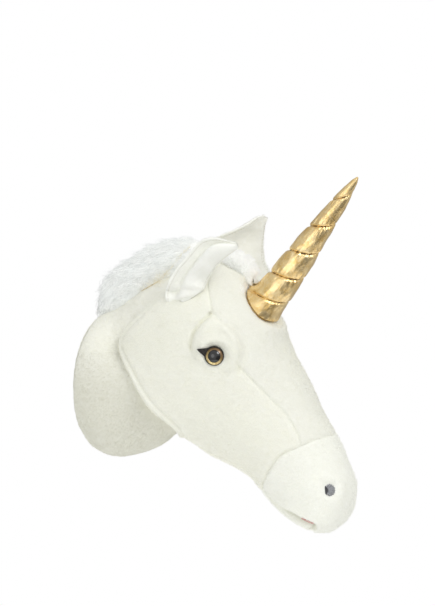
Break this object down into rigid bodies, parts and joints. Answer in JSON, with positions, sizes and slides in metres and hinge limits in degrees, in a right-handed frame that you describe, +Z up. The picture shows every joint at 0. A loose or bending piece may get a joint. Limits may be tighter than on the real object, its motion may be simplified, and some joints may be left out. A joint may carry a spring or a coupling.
{
  "type": "plush unicorn head",
  "caption": "Stuffed plush unicorn head on a round backing board, with a mane, flexing ears and horn, safety eyes and a swinging wall hanger.",
  "frame": {"origin": "centre of the round rear face, on the wall plane", "axes": "+Y out of the rear face into the wall, so the head stands out along -Y; +Z up; +X towards the unicorn's left"},
  "size_m": [0.1693, 0.32, 0.4026],
  "materials": {
    "board": "raw fibreboard",
    "felt": "pressed felt",
    "plush": "short-pile plush",
    "ear_lining": "smooth short-nap plush",
    "pile": "long-pile faux fur",
    "stuffing": "polyester fibrefill",
    "mouth": "pink felt",
    "lash": "black felt",
    "floss": "embroidery floss",
    "lame": "gold lame",
    "cord_brown": "twisted thread",
    "eye": "black dome with a gold rim",
    "washer": "moulded",
    "steel": "zinc plated"
  },
  "bodies": {
    "root": {"back_board": "board", "back_cover": "felt", "neck_hem": "plush", "hem_staples": "steel", "hanger_strap": "steel", "hanger_screws": "steel", "neck_skin_left": "plush", "neck_skin_right": "plush", "neck_stuffing": "stuffing", "cheek_left": "plush", "cheek_right": "plush", "bridge_panel": "plush", "jaw_gusset": "plush", "muzzle_skin": "plush", "lower_lip": "plush", "mouth_lining": "mouth", "head_stuffing": "stuffing", "mane_strip": "pile", "forelock_tuft": "pile", "eye_left": "eye", "eye_right": "eye", "eye_washer_left": "washer", "eye_washer_right": "washer", "eye_felt_left": "lash", "eye_felt_right": "lash", "nostril_left": "floss", "nostril_right": "floss"},
    "hanger_ring": {"hanger_ring": "steel"},
    "ear_left": {"ear_outer_left": "plush", "ear_lining_left": "ear_lining"},
    "ear_right": {"ear_outer_right": "plush", "ear_lining_right": "ear_lining"},
    "horn": {"horn_cover": "lame", "horn_stuffing": "stuffing", "horn_thread": "cord_brown"}
  },
  "joints": [
    {"name": "hanger_ring_swing", "type": "hinge", "parent": "root", "child": "hanger_ring", "pos_m": [0, -0.0092, 0.042], "axis": [1, 0, 0], "range_deg": [0, 160]},
    {"name": "ear_left_flex", "type": "hinge", "parent": "root", "child": "ear_left", "pos_m": [0.054, -0.151, 0.108], "axis": [-0.7897, 0.6128, 0.028], "range_deg": [-15, 15], "stiffness_Nm_per_rad": 0.12},
    {"name": "ear_right_flex", "type": "hinge", "parent": "root", "child": "ear_right", "pos_m": [-0.064, -0.133, 0.1], "axis": [0.027, 0.9689, 0.246], "range_deg": [-15, 15], "stiffness_Nm_per_rad": 0.12},
    {"name": "horn_flex", "type": "hinge", "parent": "root", "child": "horn", "pos_m": [0, -0.2, 0.085], "axis": [1, 0, 0], "range_deg": [-8, 8], "stiffness_Nm_per_rad": 1.2}
  ]
}
